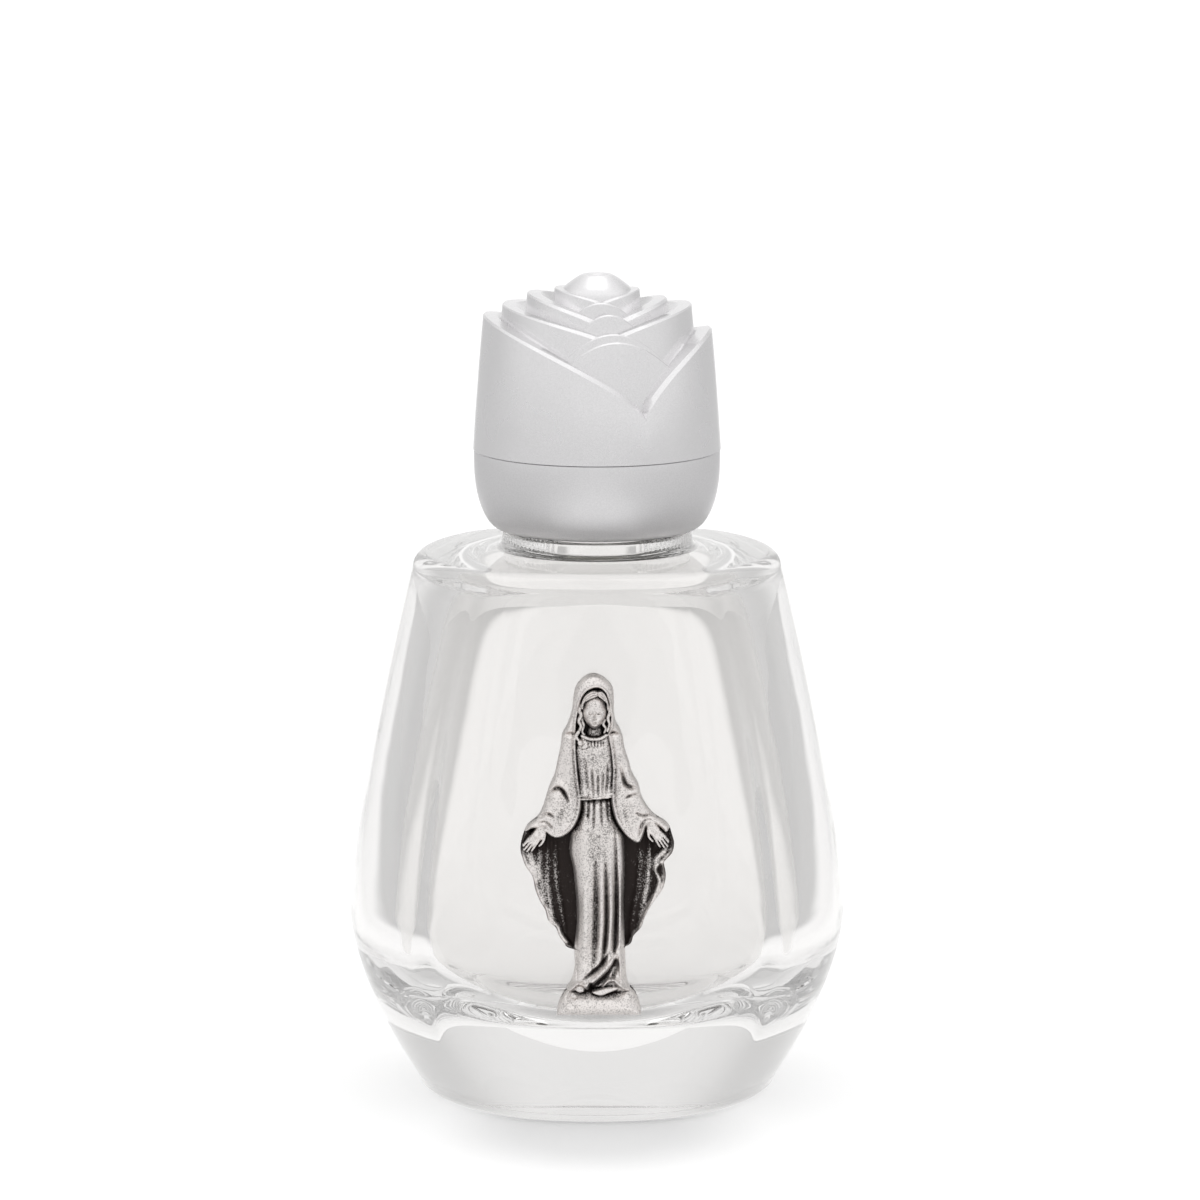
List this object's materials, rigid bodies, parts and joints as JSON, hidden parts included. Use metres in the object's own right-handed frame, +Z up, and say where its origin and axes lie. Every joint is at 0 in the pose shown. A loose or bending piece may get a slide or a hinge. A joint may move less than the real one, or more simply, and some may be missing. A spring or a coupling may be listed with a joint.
{
  "type": "holy water bottle",
  "caption": "Clear glass holy water bottle with rounded sides and flat panels, a cast robed figure on the front and a screw cap shaped as a rose.",
  "frame": {"origin": "centre of the round base, on the surface that the bottle stands on", "axes": "+Z up along the bottle's axis, -Y towards the front panel with the figure, +X to the viewer's right"},
  "size_m": [0.0482, 0.0416, 0.08],
  "materials": {
    "clear_glass": "clear, fire polished",
    "white_polyethylene": "moulded",
    "clear_adhesive": "clear",
    "antique_silver": "antiqued silver, cast",
    "foam_liner": "foamed",
    "white_polypropylene": "moulded",
    "satin_silver_cup": "metallised satin silver",
    "satin_silver_rose": "metallised satin silver"
  },
  "bodies": {
    "bottle": {"glass_bottle": "clear_glass", "pouring_insert": "white_polyethylene", "adhesive_film": "clear_adhesive", "figure_relief": "antique_silver"},
    "seal": {"cap_sealing_disc": "foam_liner"},
    "cap": {"cap_thread_liner": "white_polypropylene", "cap_cup_shell": "satin_silver_cup", "cap_rose_shell": "satin_silver_rose"}
  },
  "joints": [
    {"name": "cap_rise", "type": "slide", "parent": "bottle", "child": "seal", "axis": [0, 0, 1], "range_m": [0, 0.0045]},
    {"name": "cap_unscrew", "type": "hinge", "parent": "seal", "child": "cap", "pos_m": [0, 0, 0.0634], "axis": [0, 0, 1], "range_deg": [0, 540]}
  ],
  "couplings": [
    {"joint": "cap_rise", "follows": "cap_unscrew", "m_per_rad": 0.00047746}
  ]
}
